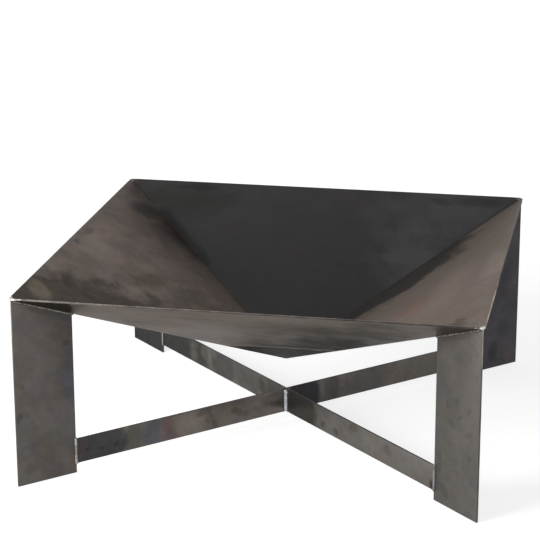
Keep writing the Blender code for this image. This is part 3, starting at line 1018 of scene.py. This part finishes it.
# The cross is two flat bars on edge, 40 mm tall, slotted half way into each other and tied to the legs.
# They are cut from another sheet, bluer and darker, and the welding has coloured them beside the joints;
# beside the crossing and at one bar's end there is painted light and a painted shadow.
bar_low = 0.015
bar_height = 0.04
middle_tint = (0, 1000 * (bar_low + bar_height / 2), 18, 34, 0)
scorched = (0.051, 0.051, 0.054)
soot_mark = (0.022, 0.022, 0.024)
handled = (0.078, 0.067, 0.057)

# Each bar's tone and the marks on its front face
bar_marks = {}
bar_marks["cross_bar_lower"] = (0.14, 0.124, 0.112), (
    (-354, 35, 62, 60, 0, scorched, 95, 30),
    (-286, 35, 18, 60, 0, (0.091, 0.091, 0.079), 85, 80),
    (-182, 35, 40, 60, 0, (0.168, 0.152, 0.133), 90, 60),
    (-226, 35, 21, 60, 8, (0.126, 0.09, 0.089), 90, 85),
    (-256, 35, 26, 60, -6, (0.088, 0.091, 0.104), 92, 85),
    (-162, 48, 22, 9, 12, handled, 60, 60),
    (-150, 37, 11, 14, -25, handled, 50, 60),
    (-139, 24, 7, 12, 30, handled, 60, 70),
    (-118, 35, 18, 50, 0, (0.152, 0.138, 0.122), 75, 80),
    (-94, 34, 18, 8, -25, handled, 65, 60),
    (-80, 28, 9, 11, 15, handled, 50, 70),
    # Lighter beside the crossing: painted light against the shade and dark reflection of the other bar.
    (-36, 51, 58, 24, 0, (0.35, 0.32, 0.3), 80, 90),
    (-18, 42, 26, 13, 0, (0.42, 0.4, 0.38), 80, 90),
    (-8, 30, 18, 20, 0, (0.24, 0.225, 0.21), 80, 90),
    (-382, 35, 3.5, 60, 0, (0.074, 0.052, 0.042), 60, 80),
    (-371, 34, 6, 4, 20, soot_mark, 65, 80),
    (-346, 30, 5, 3, -10, soot_mark, 50, 80),
    (-320, 31, 7, 4, 40, soot_mark, 60, 80),
    (36, 35, 40, 60, 0, (0.029, 0.028, 0.033), 96, 40),
    (-4, 35, 5, 60, 0, (0.056, 0.05, 0.045), 70, 70),
    (88, 35, 26, 60, 0, (0.066, 0.063, 0.06), 85, 60),
    (160, 35, 70, 60, 0, (0.078, 0.077, 0.076), 90, 60),
    (280, 35, 80, 60, 0, (0.109, 0.101, 0.09), 90, 60),
    (365, 35, 40, 60, 0, (0.062, 0.055, 0.048), 85, 60))
bar_marks["cross_bar_upper"] = (0.134, 0.125, 0.115), (
    (45, 35, 52, 60, 0, (0.054, 0.05, 0.045), 96, 35),
    (106, 27, 10, 7, 30, handled, 75, 50),
    (141, 26, 11, 7, -20, handled, 75, 50),
    (187, 47, 17, 10, 10, handled, 60, 60),
    (274, 40, 14, 10, -10, handled, 50, 70),
    # A painted shadow at the bar's lower end, beside the bead.
    (387, 22, 12, 14, 0, (0.032, 0.029, 0.027), 88, 80),
    (225, 33, 60, 26, 0, (0.16, 0.151, 0.138), 70, 90),
    (-345, 35, 70, 60, 0, (0.052, 0.052, 0.05), 96, 40),
    (-262, 36, 30, 50, 15, (0.053, 0.051, 0.047), 92, 70),
    (-250, 42, 16, 15, -30, (0.112, 0.105, 0.092), 80, 50),
    (-218, 34, 12, 12, 20, (0.054, 0.051, 0.049), 60, 60),
    (-188, 36, 40, 50, 0, (0.08, 0.077, 0.073), 90, 50),
    (-112, 40, 40, 60, 30, (0.101, 0.098, 0.092), 92, 35),
    (-69, 37, 13, 19, 15, (0.068, 0.06, 0.05), 75, 65),
    (-33, 36, 36, 60, 0, (0.08, 0.073, 0.066), 90, 60))
bar_tones = (0.08, 0.075, 0.07), (0.15, 0.142, 0.132)
bar_edge = cut_edge_steel("bar_cut_edge", *bar_tones, side_arris_depth)
bar_front_clouds = (0.09, 0.04, 0.3)
bar_back_clouds = (0.16, 0.045, 0.35)
bar_front_seed = 61
bar_back_seed = 71
back_marks = ((*middle_tint, blue_black, 60, 80),)
bar_quarters = {"cross_bar_lower": 0.5, "cross_bar_upper": -0.5}
for index, (node, quarters) in enumerate(bar_quarters.items()):
    tone, marks = bar_marks[node]
    shift = index * seed_step
    faces = (raw_steel(node + "_front", tone, bar_front_seed + shift, marks, *bar_front_clouds),
             raw_steel(node + "_back", tone, bar_back_seed + shift, back_marks, *bar_back_clouds))
    along = turned_by(quarters) @ Vector((1, 0, 0))
    plate_from(node, Vector(), along, Vector((0, 0, 1)), faces, bar_edge)


# Four upright beads hold the cross together, one in each corner between the bars.
# They are the brightest welds on the object, as they were brushed clean.
bright_bead_steel = weld_steel(
    "brushed_bead", (0.46, 0.475, 0.5), browned=0.76, dash_length=0.01, patch_size=0.006, toe_start=0.62)
centre_bead_size = 0.0046
centre_bead_crown = 0.0007
centre_bead_seed = 11.0
corner_root = half_plate - root_sink
end_gap = 0.0004
upright_ends = (bar_low + end_gap, bar_low + bar_height - end_gap)
for quarter, side in enumerate(side_names):
    turn = turned_by(quarter - 1.5)
    rail = [((corner_root, corner_root, level), (1, 0, 0), (0, 1, 0), (1, 1, 0)) for level in upright_ends]
    lay_bead(f"centre_weld_{side}", turn, rail, centre_bead_size, centre_bead_crown,
             centre_bead_seed + quarter, bright_bead_steel)


# One flat bead runs up each face of a leg, over the joint between its inner edge and the end of the bar.
# It overruns the bar by about 2 mm above and below.
brushed_cap_steel = weld_steel(
    "half_brushed_bead", (0.37, 0.36, 0.36), browned=0.56, dash_length=0.03, patch_size=0.008, toe_start=0.3,
    lean=0.5)
dull_cap_steel = weld_steel(
    "dull_bead", (0.225, 0.225, 0.23), browned=0.6, dash_length=0.06, patch_size=0.01, toe_start=0.5)
cap_half_width = 0.003
cap_crown = 0.0014
cap_overrun = 0.0018
cap_ends = (bar_low - cap_overrun, bar_low + bar_height + cap_overrun)
cap_sink = 0.0002
cap_seed = 21.0
joint_gap = 0.0003
joint = leg_inner - joint_gap / 2
for quarter, corner in enumerate(corner_names):
    turn = turned_by(quarter - 0.5)
    for face in (-1, 1):
        outward = turn @ Vector((0, face, 0))
        name = f"bar_weld_{corner}_{'front' if outward.y < 0 else 'back'}_face"
        root = face * (half_plate - cap_sink)
        rail = [((joint, root, level), (1, 0, 0), (-1, 0, 0), (0, face, 0)) for level in cap_ends]
        steel = brushed_cap_steel if corner == "front_left" else dull_cap_steel
        lay_bead(name, turn, rail, cap_half_width, cap_crown, cap_seed + quarter * 2 + face, steel)
